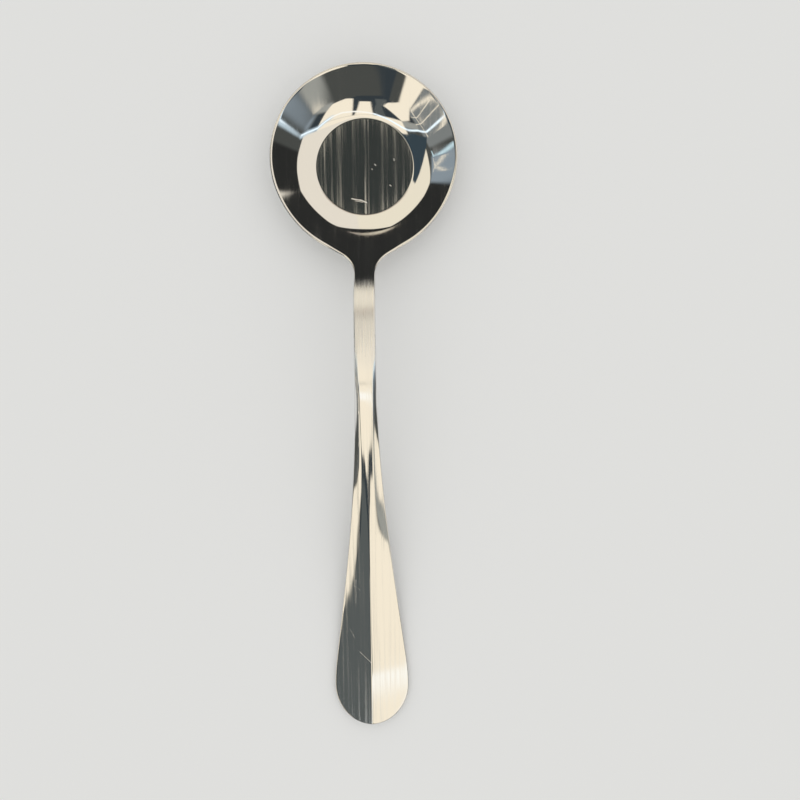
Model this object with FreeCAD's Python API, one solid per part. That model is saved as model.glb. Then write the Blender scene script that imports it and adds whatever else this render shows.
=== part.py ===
import FreeCAD, Part
import math
import os

# Flat bottom spoon, pressed from one sheet of steel. Millimetres.
# The origin is the centre of the flat underside of the bowl. The bowl opens upward along +Z,
# its tip points along +Y and the handle runs along -Y. A distance is measured from the origin
# along the handle. The spoon rests on the flat underside and on the toe of the handle, at Z = 0.

V = FreeCAD.Vector

# Overall sizes
overall_length = 175.0
neck_height = 18.4

# Bowl, seen from above: a round rim whose centre lies a little nearer the tip than the floor's, a
# flatter shoulder arc, a straight run and the neck corner
bowl_width = 49.4
rim_offset = 0.5
shoulder_start_angle = 20.0
shoulder_radius = 28.3
shoulder_slope = 31.0
neck_corner_radius = 7.2

# Bowl, seen in section: a flat floor, a rounded corner, a dished wall that runs out straight to the
# rim, and on the side of the handle a bend into the neck
floor_diameter = 26.5
floor_thickness = 1.2
floor_corner_radius = 2.0
wall_foot_angle = 16.0
wall_rim_angle = 36.0
wall_radius = 16.2
crown_radius = 16.0

# Handle, seen from above
neck_width = 5.5
flare_start = 56.0
blade_width = 19.9
blade_round_length = 10.8

# Handle, seen from the side
neck_thickness = 2.8
neck_flat_length = 1.5
ridge_start = 65.0
middle_distance = 97.0
middle_ridge_thickness = 2.5
middle_edge_thickness = 1.8
blade_ridge_thickness = 2.1
blade_edge_thickness = 1.3
toe_length = 12.0
toe_lift = 0.3

# Half width of the rounded top of the ridge, which is broad at the neck and sharp on the blade
neck_ridge_half_width = 2.0
middle_ridge_half_width = 0.5
blade_ridge_half_width = 0.2

# The long upper edges of the handle fall away in a bevel before their rounding. It is narrow at the
# neck, widens to the middle and runs out on the blade.
neck_bevel_width = 0.8
middle_bevel_width = 2.4
bevel_drop = 0.4
bevel_end = 124.0

# Rounding of the trimmed edge, above and below
upper_round = 0.4
lower_round = 0.45

# Points of the flare and of the side view, as shares of their own run and rise
flare_shares = ((0.37, 0.185), (0.69, 0.585), (0.89, 0.89))
descent_shares = ((0.25, 0.83), (0.60, 0.31))

# The handle is pressed a little wide and long, then trimmed to its outline
trim_margin = 1.0
end_margin = 2.0
trim_depth = 10.0

# Sections of the handle's loft: evenly spaced, with two more just after the bowl, as shares of a step
blank_sections = 14
early_sections = (0.083, 0.333)

# A face counts as the trimmed edge where its normal is level, within this, at these shares of its face
level_tolerance = 0.001
sample_shares = (0.2, 0.5, 0.8)

bowl_radius = bowl_width / 2
floor_radius = floor_diameter / 2
neck_half = neck_width / 2
blade_half = blade_width / 2
bowl_tip = bowl_radius + rim_offset
handle_end = overall_length - bowl_tip
blade_widest = handle_end - blade_round_length
toe_start = handle_end - toe_length


def line(first, last):
    return Part.LineSegment(first, last).toShape()


def arc(first, middle, last):
    return Part.Arc(first, middle, last).toShape()


def law(*pairs):
    """A smooth value along the handle through (distance, value) pairs, level at both ends."""
    curve = Part.BSplineCurve()
    curve.interpolate(
        Points=[V(distance, value, 0) for distance, value in pairs],
        Parameters=[distance for distance, value in pairs],
        InitialTangent=V(1, 0, 0),
        FinalTangent=V(1, 0, 0),
    )
    first = pairs[0][0]
    last = pairs[-1][0]
    return lambda distance: curve.value(min(max(distance, first), last)).y


def bend(start, radius, slope, next_slope):
    """An arc in the XZ plane from start, along which the slope turns from one angle to the next."""
    turn = 1 if next_slope > slope else -1
    centre = start + V(-math.sin(math.radians(slope)), 0, math.cos(math.radians(slope))) * radius * turn

    def at(angle):
        return centre + V(math.sin(math.radians(angle)), 0, -math.cos(math.radians(angle))) * radius * turn

    last = at(next_slope)
    return arc(start, at((slope + next_slope) / 2), last), last


def sheet_side(height, corner_radius, side_radius, bend_radius, crest_height):
    """One side of the sheet in section, from the axis to the level crest of the neck."""
    corner_start = V(floor_radius - floor_corner_radius * math.tan(math.radians(wall_foot_angle) / 2), 0, height)
    corner, wall_start = bend(corner_start, corner_radius, 0, wall_foot_angle)
    wall, wall_end = bend(wall_start, side_radius, wall_foot_angle, wall_rim_angle)
    rim_slope = math.radians(wall_rim_angle)
    straight_rise = crest_height - bend_radius * (1 - math.cos(rim_slope)) - wall_end.z
    crown_start = wall_end + V(straight_rise / math.tan(rim_slope), 0, straight_rise)
    crown, crest = bend(crown_start, bend_radius, wall_rim_angle, 0)
    return [line(V(0, 0, height), corner_start), corner, wall, line(wall_end, crown_start), crown], crest


def bowl_blank():
    """The dished sheet as a full turn, up to the level crest of the neck. Returns it and the crest's end."""
    inner, inner_crest = sheet_side(floor_thickness, floor_corner_radius, wall_radius, crown_radius, neck_height)
    outer, outer_crest = sheet_side(
        0,
        floor_corner_radius + floor_thickness,
        wall_radius + floor_thickness,
        crown_radius - floor_thickness,
        neck_height - neck_thickness,
    )
    join = max(inner_crest.x, outer_crest.x) + neck_flat_length
    reach = join + neck_width
    top_end = V(reach, 0, inner_crest.z)
    bottom_end = V(reach, 0, outer_crest.z)
    ends = [
        line(inner_crest, top_end),
        line(top_end, bottom_end),
        line(bottom_end, outer_crest),
        line(V(0, 0, 0), V(0, 0, floor_thickness)),
    ]
    section = Part.Face(Part.Wire(Part.__sortEdges__(inner + outer + ends)))
    dish = section.revolve(V(0, 0, 0), V(0, 0, 1), 360)
    size = 2 * reach
    side_of_bowl = Part.makeBox(2 * size, join + size, size, V(-size, -join, -trim_depth))
    return dish.common(side_of_bowl), join


def flare_curve():
    """The long right edge of the handle, whose parameter is the distance from the origin."""
    run = blade_widest - flare_start
    growth = blade_half - neck_half
    points = [V(neck_half, -flare_start, 0)]
    for along, across in flare_shares:
        points.append(V(neck_half + across * growth, -flare_start - along * run, 0))
    points.append(V(blade_half, -blade_widest, 0))
    curve = Part.BSplineCurve()
    curve.interpolate(
        Points=points,
        Parameters=[-point.y for point in points],
        InitialTangent=V(0, -1, 0),
        FinalTangent=V(0, -1, 0),
    )
    return curve


def handle_blank(join):
    """The handle before trimming: a loft of sections with a flat back and a ridged top."""
    flare = flare_curve()
    drop = neck_height - neck_thickness
    run = toe_start - join
    descent = [(join + along * run, share * drop) for along, share in descent_shares]
    underside = law((join, drop), *descent, (toe_start, 0))
    ridge = law(
        (ridge_start, neck_thickness),
        (middle_distance, middle_ridge_thickness),
        (toe_start, blade_ridge_thickness),
    )
    edge = law(
        (ridge_start, neck_thickness),
        (middle_distance, middle_edge_thickness),
        (toe_start, blade_edge_thickness),
    )
    ridge_half_width = law(
        (ridge_start, neck_ridge_half_width),
        (middle_distance, middle_ridge_half_width),
        (toe_start, blade_ridge_half_width),
    )
    bevel_width = law(
        (flare_start, neck_bevel_width),
        (middle_distance, middle_bevel_width),
    )
    bevel = law(
        (join, 0),
        (flare_start, bevel_drop),
        (middle_distance, bevel_drop),
        (bevel_end, 0),
    )

    def section(distance):
        half = flare.value(min(max(distance, flare_start), blade_widest)).x
        wide = half + trim_margin
        bottom = underside(distance) + toe_lift * (max(0, distance - toe_start) / toe_length) ** 2
        facet_slope = (ridge(distance) - edge(distance)) / half
        bevel_start = half - bevel_width(distance)
        crest = min(ridge_half_width(distance), bevel_start / 2)
        edge_drop = bevel(distance)
        right_half = [
            (crest, 0),
            ((crest + bevel_start) / 2, 0),
            (bevel_start, 0),
            (half, edge_drop),
            (wide, edge_drop * (wide - bevel_start) / (half - bevel_start)),
        ]
        left_half = [(-x, fall) for x, fall in reversed(right_half)]
        crown = bottom + ridge(distance)
        whole = left_half + [(0, 0)] + right_half
        top_poles = [V(x, -distance, crown - facet_slope * abs(x) - fall) for x, fall in whole]
        top = Part.BSplineCurve()
        top.buildFromPoles(top_poles, False, 3)
        left = V(-wide, -distance, bottom)
        right = V(wide, -distance, bottom)
        return Part.Wire([top.toShape(), line(top_poles[-1], right), line(right, left), line(left, top_poles[0])])

    step = (handle_end + end_margin - join) / blank_sections
    stations = [join] + [join + step * share for share in early_sections]
    stations += [join + step * count for count in range(1, blank_sections + 1)]
    return Part.makeLoft([section(distance) for distance in stations], True, False)


def quarter_ellipse(centre, half_width, reach):
    """The rounded end of the blade, from its right edge to the tip."""
    tip = centre - V(0, reach, 0)
    right = centre + V(half_width, 0, 0)
    if reach > half_width:
        return Part.ArcOfEllipse(Part.Ellipse(tip, right, centre), 0, math.pi / 2).toShape()
    return Part.ArcOfEllipse(Part.Ellipse(right, tip, centre), 0, math.pi / 2).toShape()


def right_half_outline():
    """The plan of the spoon right of its middle plane, as one closed wire."""

    def on_circle(centre, radius, angle):
        return centre + V(math.cos(math.radians(angle)), math.sin(math.radians(angle)), 0) * radius

    bowl_centre = V(0, rim_offset, 0)
    rim_end_angle = -shoulder_start_angle
    shoulder_end_angle = shoulder_slope - 90
    rim_end = on_circle(bowl_centre, bowl_radius, rim_end_angle)
    rim = arc(V(0, bowl_tip, 0), on_circle(bowl_centre, bowl_radius, (90 + rim_end_angle) / 2), rim_end)

    shoulder_centre = on_circle(bowl_centre, bowl_radius - shoulder_radius, rim_end_angle)
    shoulder_middle = on_circle(shoulder_centre, shoulder_radius, (rim_end_angle + shoulder_end_angle) / 2)
    shoulder_end = on_circle(shoulder_centre, shoulder_radius, shoulder_end_angle)
    shoulder = arc(rim_end, shoulder_middle, shoulder_end)

    slope = math.radians(shoulder_slope)
    corner = V(neck_half, shoulder_end.y - (shoulder_end.x - neck_half) * math.tan(slope), 0)
    corner_length = neck_corner_radius * math.tan((math.pi / 2 - slope) / 2)
    corner_start = corner + V(math.cos(slope), math.sin(slope), 0) * corner_length
    corner_end = corner - V(0, corner_length, 0)
    corner_centre = corner_end + V(neck_corner_radius, 0, 0)
    corner_middle = on_circle(corner_centre, neck_corner_radius, 90 + (90 + shoulder_slope) / 2)
    run = line(shoulder_end, corner_start)
    corner_arc = arc(corner_start, corner_middle, corner_end)

    neck = line(corner_end, V(neck_half, -flare_start, 0))
    end = quarter_ellipse(V(0, -blade_widest, 0), blade_half, blade_round_length)
    middle = line(V(0, -handle_end, 0), V(0, bowl_tip, 0))
    return Part.Wire([rim, shoulder, run, corner_arc, neck, flare_curve().toShape(), end, middle])


def is_wall(face):
    """True for a face of the trimmed edge, which stands upright all over and is off the middle plane."""
    u_first, u_last, v_first, v_last = face.ParameterRange
    for share in sample_shares:
        normal = face.normalAt(u_first + share * (u_last - u_first), v_first + share * (v_last - v_first))
        if abs(normal.z) > level_tolerance:
            return False
    return face.CenterOfMass.x > level_tolerance


def trim_edges(solid, facing):
    """The edges where the upright trimmed wall meets the upper (1) or lower (-1) face of the sheet."""
    wall_edges = [edge for face in solid.Faces if is_wall(face) for edge in face.Edges]
    found = []
    for face in solid.Faces:
        u_first, u_last, v_first, v_last = face.ParameterRange
        upward = face.normalAt((u_first + u_last) / 2, (v_first + v_last) / 2).z
        if upward * facing > 0 and not is_wall(face):
            found += [edge for edge in face.Edges if any(edge.isSame(other) for other in wall_edges)]
    return found


def spoon():
    """The right half is trimmed and its edges are rounded, then it is mirrored and the halves are joined."""
    dish, join = bowl_blank()
    blank = dish.fuse(handle_blank(join))
    plan = Part.Face(right_half_outline()).extrude(V(0, 0, neck_height + 2 * trim_depth))
    plan.translate(V(0, 0, -trim_depth))
    half = blank.common(plan).Solids[0]
    half = half.makeFillet(lower_round, trim_edges(half, -1)).Solids[0]
    half = half.makeFillet(upper_round, trim_edges(half, 1)).Solids[0]
    return half.fuse(half.mirror(V(0, 0, 0), V(1, 0, 0))).Solids[0]


os.makedirs("parts", exist_ok=True)
solid = spoon()
solid.exportStep("parts/spoon.step")
print("spoon", solid.ShapeType, "valid", solid.isValid(), "volume", round(solid.Volume, 1))
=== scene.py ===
import math

import bmesh
import bpy
import numpy as np
from mathutils import Matrix, Vector

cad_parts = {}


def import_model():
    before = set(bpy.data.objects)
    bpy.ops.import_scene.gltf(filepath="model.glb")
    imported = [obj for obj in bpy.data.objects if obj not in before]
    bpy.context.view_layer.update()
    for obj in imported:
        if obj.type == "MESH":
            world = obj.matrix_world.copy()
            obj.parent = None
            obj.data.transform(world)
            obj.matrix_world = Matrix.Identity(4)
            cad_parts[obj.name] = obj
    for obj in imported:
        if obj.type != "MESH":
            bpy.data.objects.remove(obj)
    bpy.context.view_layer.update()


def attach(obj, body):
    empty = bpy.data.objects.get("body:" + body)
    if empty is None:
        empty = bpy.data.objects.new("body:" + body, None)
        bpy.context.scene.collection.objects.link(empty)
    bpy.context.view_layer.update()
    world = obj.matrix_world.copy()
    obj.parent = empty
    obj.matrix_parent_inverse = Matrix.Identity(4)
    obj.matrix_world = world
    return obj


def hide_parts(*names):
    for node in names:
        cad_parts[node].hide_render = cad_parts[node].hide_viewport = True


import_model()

# Camera, fitted to the photograph's outline: a phone held almost straight above the handle
CAMERA_PLACE = (0.007352, -0.064931, 0.200526)
CAMERA_TILT_X = math.radians(-0.499)
CAMERA_TILT_Y = math.radians(0.355)
CAMERA_TURN = math.radians(0.845)
CLIP_START = 0.005
CLIP_END = 50
FOCAL_PIXELS = 740.0
FRAME_PIXELS = 800.0
SENSOR_MM = 36.0

# Sizes of the part's source, in millimetres and degrees
OVERALL_LENGTH = 175.0
NECK_HEIGHT = 18.4
BOWL_WIDTH = 49.4
RIM_OFFSET = 0.5
SHOULDER_START_ANGLE = 20.0
SHOULDER_RADIUS = 28.3
SHOULDER_SLOPE = 31.0
NECK_CORNER_RADIUS = 7.2
FLOOR_DIAMETER = 26.5
FLOOR_THICKNESS = 1.2
FLOOR_CORNER_RADIUS = 2.0
WALL_FOOT_ANGLE = 16.0
WALL_RIM_ANGLE = 36.0
WALL_RADIUS = 16.2
CROWN_RADIUS = 16.0
NECK_WIDTH = 5.5
FLARE_START = 56.0
BLADE_WIDTH = 19.9
BLADE_ROUND_LENGTH = 10.8
NECK_THICKNESS = 2.8
NECK_FLAT_LENGTH = 1.5
RIDGE_START = 65.0
MIDDLE_DISTANCE = 97.0
MIDDLE_RIDGE_THICKNESS = 2.5
MIDDLE_EDGE_THICKNESS = 1.8
BLADE_RIDGE_THICKNESS = 2.1
BLADE_EDGE_THICKNESS = 1.3
TOE_LENGTH = 12.0
TOE_LIFT = 0.3
NECK_RIDGE_HALF_WIDTH = 2.0
MIDDLE_RIDGE_HALF_WIDTH = 0.5
BLADE_RIDGE_HALF_WIDTH = 0.2
NECK_BEVEL_WIDTH = 0.8
MIDDLE_BEVEL_WIDTH = 2.4
BEVEL_DROP = 0.4
BEVEL_END = 124.0
UPPER_ROUND = 0.4
LOWER_ROUND = 0.45
FLARE_SHARES = ((0.37, 0.185), (0.69, 0.585), (0.89, 0.89))
DESCENT_SHARES = ((0.25, 0.83), (0.60, 0.31))
TRIM_MARGIN = 1.0

BOWL_RADIUS = BOWL_WIDTH / 2
FLOOR_RADIUS = FLOOR_DIAMETER / 2
NECK_HALF = NECK_WIDTH / 2
NECK_UNDERSIDE = NECK_HEIGHT - NECK_THICKNESS
BLADE_HALF = BLADE_WIDTH / 2
HANDLE_END = OVERALL_LENGTH - BOWL_RADIUS - RIM_OFFSET
BLADE_WIDEST = HANDLE_END - BLADE_ROUND_LENGTH
TOE_START = HANDLE_END - TOE_LENGTH

# How fine the mesh is: points along each stretch of the outline, and along the rounded edges
BOWL_STEPS = 72
SHOULDER_STEPS = 30
SLOPE_STEPS = 10
CORNER_STEPS = 14
NECK_STEPS = 26
FLARE_STEPS = 130
END_STEPS = 56
ARC_STEPS = 9
ROUNDING_PASSES = 4
# Rings of the bowl, in millimetres from its axis: over the floor, and closer where the floor turns
# up. From there on they are shares of the way that is left to the edge.
FLOOR_RINGS = np.linspace(0, 12.4, 9)[1:]
TURN_RINGS = np.linspace(12.75, 14.0, 22)
INNER_RINGS = np.concatenate([FLOOR_RINGS, TURN_RINGS])
OUTER_SHARES = np.linspace(0, 1, 41)[1:-1]
# Columns of the handle: shares of its half width, from the edge to the ridge, closer at the ridge
COLUMN_POWER = 1.7
EVEN_SHARES = np.linspace(0, 1, 35)
COLUMN_SHARES = ((EVEN_SHARES**COLUMN_POWER + EVEN_SHARES) / 2)[::-1][1:]
# The CAD's own mesh is a hair narrower than its true outline, and this one stays inside it
WIDTH_SHARE = 0.9997
MERGE_DISTANCE = 1e-7
MM_PER_METRE = 1000


def law(*pairs):
    """The cubic spline through (distance, value) pairs, level at both ends, as in the source."""
    t = np.array([p[0] for p in pairs], float)
    w = np.array([p[1] for p in pairs], float)
    n = len(t)
    h = np.diff(t)
    a = np.zeros((n, n))
    b = np.zeros(n)
    a[0, 0] = a[-1, -1] = 1.0
    for i in range(1, n - 1):
        a[i, i - 1] = 1 / h[i - 1]
        a[i, i] = 2 * (1 / h[i - 1] + 1 / h[i])
        a[i, i + 1] = 1 / h[i]
        b[i] = 3 * ((w[i] - w[i - 1]) / h[i - 1] ** 2 + (w[i + 1] - w[i]) / h[i] ** 2)
    slopes = np.linalg.solve(a, b)

    def value(distance):
        d = np.clip(distance, t[0], t[-1])
        i = np.clip(np.searchsorted(t, d, side="right") - 1, 0, n - 2)
        s = (d - t[i]) / h[i]
        return (
            w[i] * (1 + 2 * s) * (1 - s) ** 2
            + slopes[i] * h[i] * s * (1 - s) ** 2
            + w[i + 1] * s**2 * (3 - 2 * s)
            + slopes[i + 1] * h[i] * s**2 * (s - 1)
        )

    return value


def circle(radius, offset):
    """How far a circle of this radius reaches above its centre at an offset from it."""
    return np.sqrt(np.maximum(radius**2 - offset**2, 0))


def sheet_side(height, corner_radius, side_radius, bend_radius, crest_height):
    """One side of the dished sheet: its height by radius from the bowl's axis, and its crest."""
    foot, rim = math.radians(WALL_FOOT_ANGLE), math.radians(WALL_RIM_ANGLE)
    r0 = FLOOR_RADIUS - FLOOR_CORNER_RADIUS * math.tan(foot / 2)
    r1 = r0 + corner_radius * math.sin(foot)
    z1 = height + corner_radius * (1 - math.cos(foot))
    wall_r, wall_z = r1 - side_radius * math.sin(foot), z1 + side_radius * math.cos(foot)
    r2, z2 = wall_r + side_radius * math.sin(rim), wall_z - side_radius * math.cos(rim)
    z3 = crest_height - bend_radius * (1 - math.cos(rim))
    r3 = r2 + (z3 - z2) / math.tan(rim)
    r4 = r3 + bend_radius * math.sin(rim)

    def value(r):
        corner = height + corner_radius - circle(corner_radius, r - r0)
        wall = wall_z - circle(side_radius, r - wall_r)
        straight = z2 + (r - r2) * math.tan(rim)
        crown = crest_height - bend_radius + circle(bend_radius, r - r4)
        inside = [r < r0, r < r1, r < r2, r < r3, r < r4]
        return np.select(inside, [height, corner, wall, straight, crown], crest_height)

    return value, r4


TOP_SHEET, TOP_CREST = sheet_side(
    FLOOR_THICKNESS, FLOOR_CORNER_RADIUS, WALL_RADIUS, CROWN_RADIUS, NECK_HEIGHT
)
BOTTOM_SHEET, BOTTOM_CREST = sheet_side(
    0,
    FLOOR_CORNER_RADIUS + FLOOR_THICKNESS,
    WALL_RADIUS + FLOOR_THICKNESS,
    CROWN_RADIUS - FLOOR_THICKNESS,
    NECK_UNDERSIDE,
)
# The dished sheet ends and the handle begins at this distance from the bowl's axis
JOIN = max(TOP_CREST, BOTTOM_CREST) + NECK_FLAT_LENGTH
DESCENT = TOE_START - JOIN
GROWTH = BLADE_HALF - NECK_HALF
FLARE_RUN = BLADE_WIDEST - FLARE_START
UNDERSIDE = law(
    (JOIN, NECK_UNDERSIDE),
    *[(JOIN + a * DESCENT, s * NECK_UNDERSIDE) for a, s in DESCENT_SHARES],
    (TOE_START, 0),
)
RIDGE = law(
    (RIDGE_START, NECK_THICKNESS),
    (MIDDLE_DISTANCE, MIDDLE_RIDGE_THICKNESS),
    (TOE_START, BLADE_RIDGE_THICKNESS),
)
EDGE = law(
    (RIDGE_START, NECK_THICKNESS),
    (MIDDLE_DISTANCE, MIDDLE_EDGE_THICKNESS),
    (TOE_START, BLADE_EDGE_THICKNESS),
)
RIDGE_HALF = law(
    (RIDGE_START, NECK_RIDGE_HALF_WIDTH),
    (MIDDLE_DISTANCE, MIDDLE_RIDGE_HALF_WIDTH),
    (TOE_START, BLADE_RIDGE_HALF_WIDTH),
)
BEVEL_WIDTH = law((FLARE_START, NECK_BEVEL_WIDTH), (MIDDLE_DISTANCE, MIDDLE_BEVEL_WIDTH))
BEVEL = law((JOIN, 0), (FLARE_START, BEVEL_DROP), (MIDDLE_DISTANCE, BEVEL_DROP), (BEVEL_END, 0))
FLARE = law(
    (FLARE_START, NECK_HALF),
    *[(FLARE_START + a * FLARE_RUN, NECK_HALF + s * GROWTH) for a, s in FLARE_SHARES],
    (BLADE_WIDEST, BLADE_HALF),
)

DEGREE = 3
POLES = 11
KNOTS = np.concatenate([np.zeros(DEGREE), np.linspace(0, 1, POLES - DEGREE + 1), np.ones(DEGREE)])
BELOW_ONE = 1 - 1e-12


def basis(u):
    """Cubic B-spline basis at each u, one column a pole."""
    u = np.clip(u, 0, BELOW_ONE)
    spans = np.zeros((len(u), len(KNOTS) - 1))
    spans[np.arange(len(u)), np.searchsorted(KNOTS, u, side="right") - 1] = 1.0
    for degree in range(1, DEGREE + 1):
        count = len(KNOTS) - 1 - degree
        left = KNOTS[degree : degree + count] - KNOTS[:count]
        end = KNOTS[degree + 1 : degree + 1 + count]
        right = end - KNOTS[1 : 1 + count]
        rise = np.where(left > 0, (u[:, None] - KNOTS[:count]) / np.where(left > 0, left, 1), 0)
        fall = np.where(right > 0, (end - u[:, None]) / np.where(right > 0, right, 1), 0)
        spans = rise * spans[:, :count] + fall * spans[:, 1 : count + 1]
    return spans


# The right half of a section runs from the middle parameter to 1. The table gives a first guess of
# the parameter above a point, and a few Newton steps make it exact.
MIDDLE_U = 0.5
TABLE_SIZE = 129
TABLE_U = np.linspace(MIDDLE_U, 1, TABLE_SIZE)
TABLE = basis(TABLE_U)
NEWTON_STEPS = 3
U_STEP = 1e-5


def underside(distance):
    toe = max(0, distance - TOE_START) / TOE_LENGTH
    return float(UNDERSIDE(distance)) + TOE_LIFT * toe**2


def section_poles(distance):
    """Poles of the handle's upper curve at a distance from the bowl's axis: across, and height."""
    half = float(FLARE(distance))
    wide = half + TRIM_MARGIN
    facet_slope = float(RIDGE(distance) - EDGE(distance)) / half
    bevel_start = half - float(BEVEL_WIDTH(distance))
    crest = min(float(RIDGE_HALF(distance)), bevel_start / 2)
    fall = float(BEVEL(distance))
    x = np.array([crest, (crest + bevel_start) / 2, bevel_start, half, wide])
    d = np.array([0, 0, 0, fall, fall * (wide - bevel_start) / (half - bevel_start)])
    x = np.concatenate([-x[::-1], [0], x])
    d = np.concatenate([d[::-1], [0], d])
    return x, underside(distance) + float(RIDGE(distance)) - facet_slope * np.abs(x) - d


def top_height(x, y):
    """Height of the upper surface above points that share one y."""
    x = np.atleast_1d(np.asarray(x, float))
    if -y < JOIN:
        return TOP_SHEET(np.hypot(x, y))
    px, pz = section_poles(-y)
    u = np.interp(np.abs(x), TABLE @ px, TABLE_U)
    for _ in range(NEWTON_STEPS):
        here, ahead = basis(u) @ px, basis(u + U_STEP) @ px
        slope = (ahead - here) / U_STEP
        u = np.clip(u - (here - np.abs(x)) / slope, MIDDLE_U, 1 - 2 * U_STEP)
    return basis(u) @ pz


def bottom_height(x, y):
    """Height of the lower surface above points that share one y."""
    x = np.atleast_1d(np.asarray(x, float))
    if -y < JOIN:
        return BOTTOM_SHEET(np.hypot(x, y))
    return np.full(len(x), underside(-y))


def outline():
    """The right half of the plan, from the bowl's tip to the handle's end.

    Returns its points, the inward normal at each, and the number of the first point of the neck.
    """
    points, normals = [], []

    def arc(cx, cy, radius, first, last, count, inward):
        for angle in np.radians(np.linspace(first, last, count, endpoint=False)):
            c, s = math.cos(angle), math.sin(angle)
            points.append((cx + radius * c, cy + radius * s))
            normals.append((inward * c, inward * s))

    # the round bowl, and the shoulder that leaves it with a larger radius
    start = -SHOULDER_START_ANGLE
    arc(0, RIM_OFFSET, BOWL_RADIUS, 90, start, BOWL_STEPS, -1)
    c, s = math.cos(math.radians(start)), math.sin(math.radians(start))
    shift = BOWL_RADIUS - SHOULDER_RADIUS
    cx, cy = shift * c, RIM_OFFSET + shift * s
    end = SHOULDER_SLOPE - 90
    arc(cx, cy, SHOULDER_RADIUS, start, end, SHOULDER_STEPS, -1)

    # the straight slope, and the corner into the neck
    ex = cx + SHOULDER_RADIUS * math.cos(math.radians(end))
    ey = cy + SHOULDER_RADIUS * math.sin(math.radians(end))
    slope = math.radians(SHOULDER_SLOPE)
    corner_y = ey - (ex - NECK_HALF) * math.tan(slope)
    reach = NECK_CORNER_RADIUS * math.tan((math.pi / 2 - slope) / 2)
    sx, sy = NECK_HALF + math.cos(slope) * reach, corner_y + math.sin(slope) * reach
    for t in np.linspace(0, 1, SLOPE_STEPS, endpoint=False):
        points.append((ex + (sx - ex) * t, ey + (sy - ey) * t))
        normals.append((-math.sin(slope), math.cos(slope)))
    neck_y = corner_y - reach
    middle_x = NECK_HALF + NECK_CORNER_RADIUS
    arc(middle_x, neck_y, NECK_CORNER_RADIUS, 90 + SHOULDER_SLOPE, 180, CORNER_STEPS, 1)

    # the neck, the flare of the handle and its rounded end
    neck_index = len(points)
    for y in np.linspace(neck_y, -FLARE_START, NECK_STEPS, endpoint=False):
        points.append((NECK_HALF, y))
        normals.append((-1, 0))
    step = 1e-3
    for d in np.linspace(FLARE_START, BLADE_WIDEST, FLARE_STEPS, endpoint=False):
        grade = float(FLARE(d + step) - FLARE(d - step)) / (2 * step)
        size = math.hypot(1, grade)
        points.append((float(FLARE(d)), -d))
        normals.append((-1 / size, -grade / size))
    for t in np.linspace(0, math.pi / 2, END_STEPS):
        c, s = math.cos(t), math.sin(t)
        points.append((BLADE_HALF * c, -BLADE_WIDEST - BLADE_ROUND_LENGTH * s))
        n = np.array([c / BLADE_HALF, -s / BLADE_ROUND_LENGTH])
        n /= -np.linalg.norm(n)
        normals.append((float(n[0]), float(n[1])))
    return np.array(points), np.array(normals), neck_index


def rounding(height, point, normal, radius, up):
    """The arc that rounds the edge from the upright wall to one face, as x, y, z rows."""
    step = 0.02
    # how far in the arc meets the face, which each pass brings closer
    touch = radius
    for _ in range(ROUNDING_PASSES):
        before, there, after = [
            float(height(*(point + normal * d))[0]) for d in (touch - step, touch, touch + step)
        ]
        slope = math.atan((after - before) / (2 * step))
        centre = there + (radius - touch) * math.tan(slope) - up * radius / math.cos(slope)
        touch = radius - up * radius * math.sin(slope)
    angles = np.linspace(up * math.pi, up * math.pi / 2 + slope, ARC_STEPS)
    d = radius + radius * np.cos(angles)
    z = centre + radius * np.sin(angles)
    return np.column_stack([point[None, :] + normal[None, :] * d[:, None], z])


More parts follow.
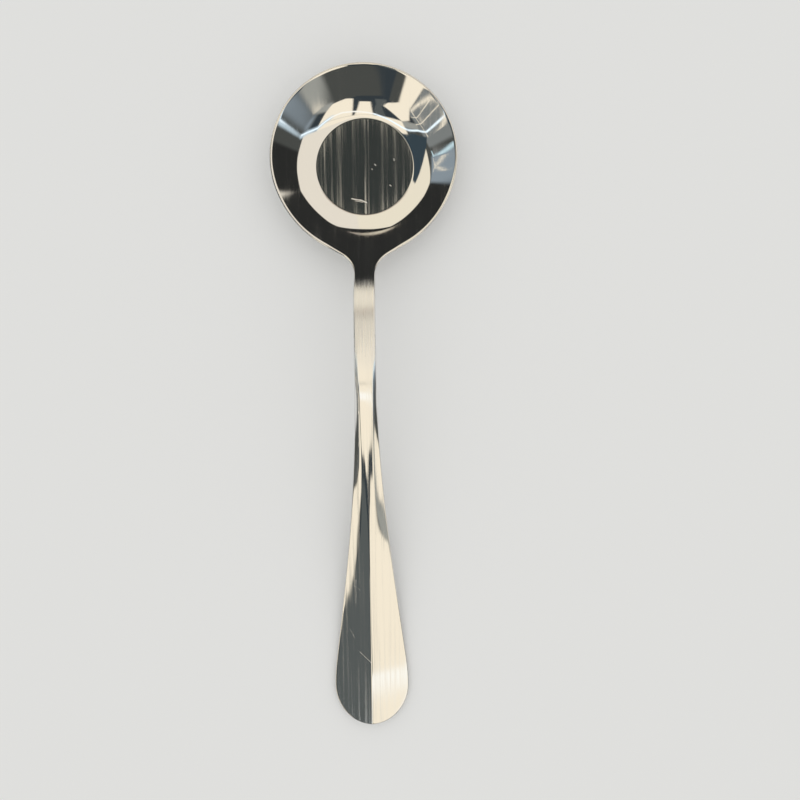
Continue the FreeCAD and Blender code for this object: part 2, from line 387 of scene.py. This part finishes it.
def build():
    """Vertices and faces of the right half of the spoon, in millimetres, mostly quads."""
    points, normals, neck = outline()
    vertices, faces = [], []

    def add(x, y, z):
        vertices.append((max(float(x), 0.0), float(y), float(z)))
        return len(vertices) - 1

    def face(corners, up):
        faces.append(corners if up > 0 else corners[::-1])

    def bridge(a, b, up):
        """Faces between two rows of vertices. The second may be one vertex again and again."""
        for i in range(len(a) - 1):
            if b[i] == b[i + 1]:
                face((a[i], b[i], a[i + 1]), up)
            else:
                face((a[i], b[i], b[i + 1], a[i + 1]), up)

    def skin(height, radius, up):
        """One face of the spoon with its rounded edge. Returns that edge's vertices on the wall."""
        arcs = [rounding(height, p, n, radius, up) for p, n in zip(points, normals)]
        strips = [[add(*row) for row in arc] for arc in arcs]

        # bowl: ribs from the centre to each rounded edge, and then to a row across the neck
        centre = add(0, 0, float(height(0, 0)[0]))
        targets = [(*arc[-1][:2], strip[-1]) for arc, strip in zip(arcs[: neck + 1], strips)]
        edge_x, edge_y, row_start = targets[-1]
        row = [row_start]
        for x in COLUMN_SHARES * edge_x:
            row.append(add(x, edge_y, float(height(x, edge_y)[0])))
            targets.append((x, edge_y, row[-1]))
        ribs = []
        for x, y, last in targets:
            reach = math.hypot(x, y)
            outer_rings = INNER_RINGS[-1] + (reach - INNER_RINGS[-1]) * OUTER_SHARES
            rib = [centre]
            for r in np.concatenate([INNER_RINGS, outer_rings]):
                px, py = x / reach * r, y / reach * r
                rib.append(add(px, py, float(height(px, py)[0])))
            ribs.append([*rib, last])
        for a, b in zip(ribs[:-1], ribs[1:]):
            face((a[0], a[1], b[1]), up)
            for i in range(1, len(a) - 1):
                face((a[i], a[i + 1], b[i + 1], b[i]), up)

        # handle: rows across, at the y of each rounded edge, and a fan at its end
        for k in range(neck + 1, len(points)):
            edge_x, edge_y = arcs[k][-1][:2]
            new = [strips[k][-1]]
            if k < len(points) - 1:
                xs = COLUMN_SHARES * edge_x
                new += [add(x, edge_y, z) for x, z in zip(xs, height(xs, edge_y))]
            else:
                new *= len(row)
            bridge(row, new, up)
            row = new

        for a, b in zip(strips[:-1], strips[1:]):
            bridge(a, b, up)
        return [strip[0] for strip in strips]

    upper = skin(top_height, UPPER_ROUND, 1)
    lower = skin(bottom_height, LOWER_ROUND, -1)
    bridge(upper, lower, 1)
    return vertices, faces


def spoon_mesh():
    """The whole spoon: the right half and its mirror image, joined along the middle."""
    vertices, faces = build()
    right = np.array(vertices) / MM_PER_METRE * (WIDTH_SHARE, 1, 1)
    left = right * (-1, 1, 1)
    count = len(right)
    polygons = [face[::-1] for face in faces] + [tuple(i + count for i in face) for face in faces]
    data = bpy.data.meshes.new("spoon_steel")
    data.from_pydata(np.vstack([right, left]).tolist(), [], polygons)
    mesh = bmesh.new()
    mesh.from_mesh(data)
    bmesh.ops.remove_doubles(mesh, verts=mesh.verts, dist=MERGE_DISTANCE)
    mesh.to_mesh(data)
    mesh.free()
    data.shade_smooth()
    item = bpy.data.objects.new("spoon_steel", data)
    bpy.context.scene.collection.objects.link(item)
    return item


def camera():
    data = bpy.data.cameras.new("camera")
    data.sensor_width = SENSOR_MM
    data.lens = FOCAL_PIXELS / FRAME_PIXELS * SENSOR_MM
    data.clip_start = CLIP_START
    data.clip_end = CLIP_END
    item = bpy.data.objects.new("camera", data)
    bpy.context.scene.collection.objects.link(item)
    turn = (
        Matrix.Rotation(CAMERA_TILT_Y, 4, "Y")
        @ Matrix.Rotation(CAMERA_TILT_X, 4, "X")
        @ Matrix.Rotation(CAMERA_TURN, 4, "Z")
    )
    item.matrix_world = Matrix.Translation(CAMERA_PLACE) @ turn.transposed()
    bpy.context.scene.camera = item


# The Mix node's sockets that are used for colours, by their numbers, as several share a name
MIX_FACTOR, MIX_FIRST, MIX_SECOND, MIX_RESULT = 0, 6, 7, 2


class Nodes:
    """Short names for adding and joining shader nodes."""

    def __init__(self, tree):
        self.tree = tree
        tree.nodes.clear()

    def add(self, kind, **values):
        node = self.tree.nodes.new(kind)
        for name, value in values.items():
            setattr(node, name, value)
        return node

    def put(self, socket, value):
        if isinstance(value, bpy.types.NodeSocket):
            self.tree.links.new(value, socket)
        else:
            socket.default_value = value

    def fill(self, node, values):
        for socket, value in zip(node.inputs, values):
            self.put(socket, value)
        return node

    def math(self, operation, *inputs, clamp=False):
        node = self.add("ShaderNodeMath", operation=operation, use_clamp=clamp)
        return self.fill(node, inputs).outputs[0]

    def total(self, *values):
        found = values[0]
        for value in values[1:]:
            found = self.math("ADD", found, value)
        return found

    def vector(self, operation, *inputs, out="Vector"):
        node = self.add("ShaderNodeVectorMath", operation=operation)
        return self.fill(node, inputs).outputs[out]

    def split(self, vector):
        return self.fill(self.add("ShaderNodeSeparateXYZ"), [vector]).outputs

    def smooth(self, value, low, high, first=0.0, last=1.0):
        """first below low and last above high, with a soft step between."""
        node = self.add("ShaderNodeMapRange", interpolation_type="SMOOTHSTEP", clamp=True)
        return self.fill(node, (value, low, high, first, last)).outputs["Result"]

    def mix(self, factor, first, second):
        node = self.add("ShaderNodeMix", data_type="RGBA")
        self.put(node.inputs[MIX_FACTOR], factor)
        self.put(node.inputs[MIX_FIRST], first)
        self.put(node.inputs[MIX_SECOND], second)
        return node.outputs[MIX_RESULT]

    def noise(self, place, repeats, detail, roughness):
        node = self.add("ShaderNodeTexNoise")
        self.put(node.inputs["Vector"], self.vector("MULTIPLY", place, repeats))
        self.put(node.inputs["Scale"], 1.0)
        self.put(node.inputs["Detail"], detail)
        self.put(node.inputs["Roughness"], roughness)
        return node.outputs["Fac"]


# Colours of the studio, from the lit ceiling and the lamps down to the dark parts of the room
CREAM = (1.22, 1.11, 0.91)
PEARL = (1.03, 0.96, 0.84)
STRAW = (1.08, 1.0, 0.82)
WHITE = (1.32, 1.3, 1.22)
GLOW = (1.25, 1.45, 1.6)
HALO = (0.72, 0.88, 1.0)
CYAN = (0.75, 1.0, 1.1)
PALE = (0.86, 0.86, 0.85)
MIST = (0.42, 0.43, 0.40)
HAZE = (0.32, 0.385, 0.44)
BROWN = (0.40, 0.30, 0.24)
STEEL_GREY = (0.26, 0.28, 0.28)
FIGURE = (0.12, 0.135, 0.135)
GREY = (0.085, 0.09, 0.085)
BLUE = (0.05, 0.075, 0.095)
SLATE = (0.045, 0.058, 0.068)
INK = (0.045, 0.052, 0.05)
DARK = (0.03, 0.031, 0.03)

# The studio is drawn by direction, in degrees from straight up towards +X and +Y. Each shape is its
# corners counterclockwise, how soft its edge is, and its colour. No corner points inwards, and a
# later shape covers an earlier one.
SHAPES = [
    # the room beyond the ceiling, seen in the far wall of the bowl
    ([(-66, 0), (66, 0), (62, 62), (34, 100), (-34, 100), (-62, 62)], 2.0, DARK),
    ([(-64, -40), (-40, -62), (40, -62), (66, -40), (66, 30), (-68, 30)], 3.0, GREY),
    (
        [(-42, -28), (-25, -42), (0, -45.5), (20, -42), (38, -30), (48, -8), (-48, -8)],
        1.5, SLATE,
    ),
    ([(43, -29), (50, -24), (56, -12), (50, -9), (44, -18)], 5.0, HAZE),
    ([(27, -41), (34, -39), (44, -34), (46, -28), (27, -28)], 2.5, MIST),
    ([(-64, -14), (-48, -34), (-44, -24), (-50, -10), (-60, 8), (-72, 8)], 2.0, STEEL_GREY),
    ([(-80, 16), (-62, 16), (-60, 42), (-80, 42)], 2.0, HAZE),
    ([(57.5, 9), (68, 9), (64, 45), (56.5, 45)], 2.0, DARK),
    ([(-50, -15), (-30, -15), (-30, -8), (-50, -9)], 1.0, MIST),
    # the ceiling: over the handle, and the bright crescent in the near wall of the bowl
    (
        [
            (-45.5, -36), (-36, -38.6), (-24, -36.5), (-18, -31), (-30, -14), (-40, -17),
            (-46.5, -30),
        ],
        0.8, CREAM,
    ),
    ([(7.5, -42), (14, -43), (27, -37.5), (31, -28), (34, -14), (5.5, -14)], 0.8, CREAM),
    ([(32.5, -40.5), (40, -44), (52, -36), (56, -26), (46.5, -27)], 0.8, CREAM),
    ([(-8.5, -36), (1.5, -36.5), (4, -14), (-8, -14)], 0.8, CREAM),
    ([(-30, -14), (34, -14), (34, 2), (-30, 2)], 1.0, CREAM),
    (
        [
            (52, -8), (57, 16), (57, 28), (54, 47.5), (45, 57.8), (26, 75.2), (19.5, 77.8),
            (-2, 75), (-2, -8),
        ],
        0.7, PEARL,
    ),
    (
        [(2, 0), (2, 75), (-24, 78), (-34.5, 70), (-53.5, 51.5), (-59, 42), (-59, 33), (-53, 8)],
        0.7, STRAW,
    ),
    ([(-16, 24), (12, 24), (12, 31), (-16, 31)], 1.0, BROWN),
    # dark window on the right of the bowl
    ([(-60, -2), (-38, -4), (-9, 4), (-9, 13), (-33, 31), (-54, 7.5)], 0.8, BLUE),
    # plain dark shapes that the far wall and the left facet of the handle reflect
    ([(-29, -46), (5, -46), (3.5, -39), (-26, -40)], 0.8, SLATE),
    ([(-24, -41), (-13, -41), (-12.5, -30), (-17.5, -30), (-22.5, -36)], 0.7, FIGURE),
    ([(-17, -31), (-12, -31), (-10, -24), (-8.5, -14), (-16, -14)], 0.7, FIGURE),
]
# The dark round thing that the bowl's floor reflects: its centre, half sizes, softness and colour
ELLIPSES = [((-2.1, 17.9), (4.3, 4.1), 0.4, INK)]
# Long bright things: the points of each, its half width, how soft it is, and its colour
STROKES = [
    # the lamp tube over the bowl
    ([(56.5, -5), (47, -9), (34, -10.5), (22, -18.5)], 0.2, 3.6, HALO),
    ([(56.0, -6.5), (47, -9), (34, -10.5), (22, -18.5)], 0.2, 1.2, GLOW),
    ([(22, -18.5), (14, -21.2), (5, -20.2), (-4, -17.3), (-9, -15.6)], 0.4, 1.3, WHITE),
    ([(-9, -15.6), (-21, -9), (-26, -6.8), (-33, -6), (-47, -8), (-62, -7)], 0.3, 1.2, GLOW),
    # thin bright lines on the right of the bowl
    ([(-47, -30), (-62, -2)], 0.15, 0.4, CREAM),
    ([(-52, -30), (-66, -6)], 0.1, 0.4, CREAM),
    ([(-45, -22), (-54, -22), (-60, -12), (-64, -10)], 0.1, 0.4, CREAM),
    ([(-48, -14), (-58, -16)], 0.1, 0.5, CREAM),
    ([(-63.5, 12), (-65.5, 17)], 0.1, 1.0, CYAN),
    ([(-65.2, 19), (-65.6, 27), (-63.7, 32)], 0.05, 0.3, CREAM),
]
# Degrees from straight up where the studio gives way to the pale sky, and over how many it does
HORIZON = 86.5
HORIZON_SOFTNESS = 1.5
LEAST_LEVEL = 1e-5


def world():
    """The studio round the spoon, with a plain sky of its own that lights the floor neutrally."""
    studio = bpy.data.worlds.new("studio")
    bpy.context.scene.world = studio
    studio.use_nodes = True
    n = Nodes(studio.node_tree)
    x, y, z = n.split(n.add("ShaderNodeTexCoord").outputs["Generated"])
    level = n.math("SQRT", n.math("ADD", n.math("MULTIPLY", x, x), n.math("MULTIPLY", y, y)))
    theta = n.math("MULTIPLY", n.math("ARCCOSINE", z), math.degrees(1))
    stretch = n.math("DIVIDE", theta, n.math("MAXIMUM", level, LEAST_LEVEL))
    sides = (n.math("MULTIPLY", x, stretch), n.math("MULTIPLY", y, stretch))
    place = n.fill(n.add("ShaderNodeCombineXYZ"), sides).outputs[0]

    def polygon(corners, soft):
        found = None
        for (u0, v0), (u1, v1) in zip(corners, corners[1:] + corners[:1]):
            length = math.hypot(u1 - u0, v1 - v0)
            inward = (-(v1 - v0) / length, (u1 - u0) / length, 0)
            offset = inward[0] * u0 + inward[1] * v0
            depth = n.vector("DOT_PRODUCT", place, inward, out="Value")
            side = n.smooth(depth, offset - soft, offset + soft)
            found = side if found is None else n.math("MULTIPLY", found, side)
        return found

    def ellipse(centre, halves, soft):
        scale = (1 / halves[0], 1 / halves[1], 0)
        scaled = n.vector("MULTIPLY", n.vector("SUBTRACT", place, (*centre, 0)), scale)
        soft_share = soft / halves[0]
        distance = n.vector("LENGTH", scaled, out="Value")
        return n.smooth(distance, 1 - soft_share, 1 + soft_share, 1.0, 0.0)

    def stroke(points, half, soft):
        found = None
        for (u0, v0), (u1, v1) in zip(points[:-1], points[1:]):
            square = (u1 - u0) ** 2 + (v1 - v0) ** 2
            rate = ((u1 - u0) / square, (v1 - v0) / square, 0)
            from_start = n.vector("SUBTRACT", place, (u0, v0, 0))
            along = n.vector("DOT_PRODUCT", from_start, rate, out="Value")
            along = n.math("MULTIPLY", along, 1.0, clamp=True)
            nearest = n.vector("MULTIPLY_ADD", (u1 - u0, v1 - v0, 0), along, (u0, v0, 0))
            distance = n.vector("DISTANCE", place, nearest, out="Value")
            near = n.smooth(distance, half, half + soft, 1.0, 0.0)
            found = near if found is None else n.math("MAXIMUM", found, near)
        return found

    pale = (*PALE, 1)
    colour = pale
    for draw, things in ((polygon, SHAPES), (ellipse, ELLIPSES), (stroke, STROKES)):
        for *form, tint in things:
            colour = n.mix(draw(*form), colour, (*tint, 1))
    colour = n.mix(n.smooth(theta, HORIZON, HORIZON + HORIZON_SOFTNESS), colour, pale)

    # two backgrounds, so that the rays that only light the floor leave out the studio's many nodes
    path = n.add("ShaderNodeLightPath")
    seen = n.math("MAXIMUM", path.outputs["Is Camera Ray"], path.outputs["Is Glossy Ray"])
    seen = n.math("MAXIMUM", seen, path.outputs["Is Transmission Ray"])
    sky = n.fill(n.add("ShaderNodeBackground"), [pale])
    room = n.fill(n.add("ShaderNodeBackground"), [colour])
    choice = n.fill(n.add("ShaderNodeMixShader"), (seen, sky.outputs[0], room.outputs[0]))
    output = n.add("ShaderNodeOutputWorld")
    n.put(output.inputs["Surface"], choice.outputs[0])


FLOOR_DROP = 0.00004
FLOOR_SIZE = 12.0
FLOOR_ROUGHNESS = 0.9


def floor():
    half = FLOOR_SIZE / 2
    corners = [(-half, -half, 0), (half, -half, 0), (half, half, 0), (-half, half, 0)]
    data = bpy.data.meshes.new("floor")
    data.from_pydata(corners, [], [(0, 1, 2, 3)])
    item = bpy.data.objects.new("floor", data)
    item.location.z = -FLOOR_DROP
    bpy.context.scene.collection.objects.link(item)
    material = bpy.data.materials.new("floor")
    material.use_nodes = True
    shader = material.node_tree.nodes["Principled BSDF"]
    shader.inputs["Base Color"].default_value = (*PALE, 1)
    shader.inputs["Roughness"].default_value = FLOOR_ROUGHNESS
    shader.inputs["Specular IOR Level"].default_value = 0.0
    data.materials.append(material)


STEEL_COLOUR = (0.74, 0.73, 0.71)
# Noise over the steel: how often it repeats in a metre along X, Y and Z, its detail and roughness
FINE_LINES = ((5200, 70, 70), 3.0, 0.6)
BROAD_LINES = ((1500, 22, 22), 2.0, 0.55)
SWELL = ((110, 70, 110), 1.0, 0.4)
NOISE_MIDDLE = 0.5
# How far the noise lifts the surface, in metres
FINE_HEIGHT = 0.0000008
SWELL_HEIGHT = 0.00003
# Soft steps: where each begins and ends, and what it gives before and after. These take noise and
# give roughness: the first two for the whole spoon, then the handle and the crest of the neck.
POLISH = (0.42, 0.75, 0.035, 0.07)
POLISH_LINES = (0.5, 0.75, 0.0, 0.045)
HANDLE_LINES = (0.35, 0.7, 0.0, 0.07)
CREST_LINES = (0.3, 0.7, 0.20, 0.32)
# This one takes noise and gives how much of a streak is left
STREAK_GAPS = (0.3, 0.65, 0.45, 1.0)
# These take millimetres from the bowl's axis or metres along Y, and give 1 in a region
IN_FLOOR = (FLOOR_RADIUS - 0.8, FLOOR_RADIUS - 0.1, 1.0, 0.0)
IN_HANDLE = (-0.075, -0.050, 1.0, 0.0)
PAST_BOWL = (-0.036, -0.031, 1.0, 0.0)
BEFORE_HANDLE = (-0.062, -0.046, 0.0, 1.0)

# Light streaks on the bowl's floor: where each lies across it and its half width in millimetres,
# and its strength. They sway a little, and are full up to a share of their half width.
FLOOR_STREAKS = [
    (-10.6, 0.6, 0.06), (-8.9, 0.5, 0.03), (-6.9, 0.9, 0.075), (-5.8, 0.3, 0.04),
    (-2.8, 1.0, 0.035), (0.2, 0.5, 0.10), (1.1, 0.3, 0.04), (4.8, 0.8, 0.07),
    (6.2, 0.6, 0.03), (8.3, 0.7, 0.06), (10.4, 0.6, 0.03),
]
STREAK_SWAY = 0.5
STREAK_CORE = 0.1
# Scratches: the ends of each in millimetres, its half width and its strength
SCRATCHES = [
    ((-3.6, -8.7), (-1.2, -9.2), 0.2, 0.3),
    ((-1.4, -9.0), (0.4, -9.8), 0.2, 0.45),
    ((-2.6, -9.3), (-0.6, -9.7), 0.1, 0.3),
    ((2.7, 0.6), (3.0, 0.2), 0.14, 0.3),
    ((1.9, -0.7), (2.1, -0.9), 0.12, 0.3),
    ((6.7, -5.1), (7.1, -5.4), 0.13, 0.3),
    ((7.9, 2.0), (8.0, 1.5), 0.12, 0.3),
    ((-3.7, -110.5), (-3.9, -117.0), 0.06, 0.25),
    ((-3.1, -130.4), (0.0, -133.4), 0.08, 0.3),
    ((-4.6, -112.0), (-2.6, -113.4), 0.05, 0.2),
    ((-5.8, -124.0), (-4.4, -126.5), 0.05, 0.2),
]
SCRATCH_CORE = 0.3


def steel():
    """Polished steel: lengthwise polishing lines, a slight swell, streaks and scratches."""
    material = bpy.data.materials.new("polished_steel")
    material.use_nodes = True
    n = Nodes(material.node_tree)
    place = n.add("ShaderNodeTexCoord").outputs["Object"]
    x, y = n.split(place)[:2]
    fine = n.noise(place, *FINE_LINES)
    broad = n.noise(place, *BROAD_LINES)
    swell = n.noise(place, *SWELL)

    flat = n.vector("MULTIPLY", place, (MM_PER_METRE, MM_PER_METRE, 0))
    on_floor = n.smooth(n.vector("LENGTH", flat, out="Value"), *IN_FLOOR)
    on_handle = n.smooth(y, *IN_HANDLE)
    on_crest = n.math("MULTIPLY", n.smooth(y, *PAST_BOWL), n.smooth(y, *BEFORE_HANDLE))

    sway = n.math("MULTIPLY", n.math("SUBTRACT", swell, NOISE_MIDDLE), STREAK_SWAY)
    across = n.math("ADD", n.math("MULTIPLY", x, MM_PER_METRE), sway)
    streaks = 0.0
    for centre, half, strength in FLOOR_STREAKS:
        distance = n.math("ABSOLUTE", n.math("SUBTRACT", across, centre))
        near = n.smooth(distance, STREAK_CORE * half, half, strength, 0.0)
        streaks = n.math("MAXIMUM", streaks, near)
    streaks = n.math("MULTIPLY", streaks, on_floor)
    streaks = n.math("MULTIPLY", streaks, n.smooth(broad, *STREAK_GAPS))

    scratches = 0.0
    for first, last, half, strength in SCRATCHES:
        start = (*first, 0)
        run = Vector(last) - Vector(first)
        rate = (*(run / run.length_squared), 0)
        along = n.vector("DOT_PRODUCT", n.vector("SUBTRACT", flat, start), rate, out="Value")
        along = n.math("MULTIPLY", along, 1.0, clamp=True)
        nearest = n.vector("MULTIPLY_ADD", (*run, 0), along, start)
        distance = n.vector("DISTANCE", flat, nearest, out="Value")
        near = n.smooth(distance, SCRATCH_CORE * half, half, strength, 0.0)
        scratches = n.math("MAXIMUM", scratches, near)

    roughness = n.total(
        n.smooth(broad, *POLISH),
        n.smooth(fine, *POLISH_LINES),
        n.math("MULTIPLY", on_handle, n.smooth(broad, *HANDLE_LINES)),
        n.math("MULTIPLY", on_crest, n.smooth(fine, *CREST_LINES)),
        n.math("ADD", streaks, scratches),
    )
    bump = n.add("ShaderNodeBump")
    bump.inputs["Distance"].default_value = 1.0
    bump.inputs["Strength"].default_value = 1.0
    lift = (n.math("MULTIPLY", fine, FINE_HEIGHT), n.math("MULTIPLY", swell, SWELL_HEIGHT))
    n.put(bump.inputs["Height"], n.total(*lift))

    shader = n.add("ShaderNodeBsdfPrincipled")
    shader.inputs["Metallic"].default_value = 1.0
    shader.inputs["Base Color"].default_value = (*STEEL_COLOUR, 1)
    n.put(shader.inputs["Roughness"], roughness)
    n.put(shader.inputs["Normal"], bump.outputs[0])
    output = n.add("ShaderNodeOutputMaterial")
    n.put(output.inputs["Surface"], shader.outputs[0])
    return material


camera()
world()
floor()
spoon = spoon_mesh()
spoon.data.materials.append(steel())
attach(spoon, "root")
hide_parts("spoon")
bpy.context.scene.view_settings.view_transform = "Standard"
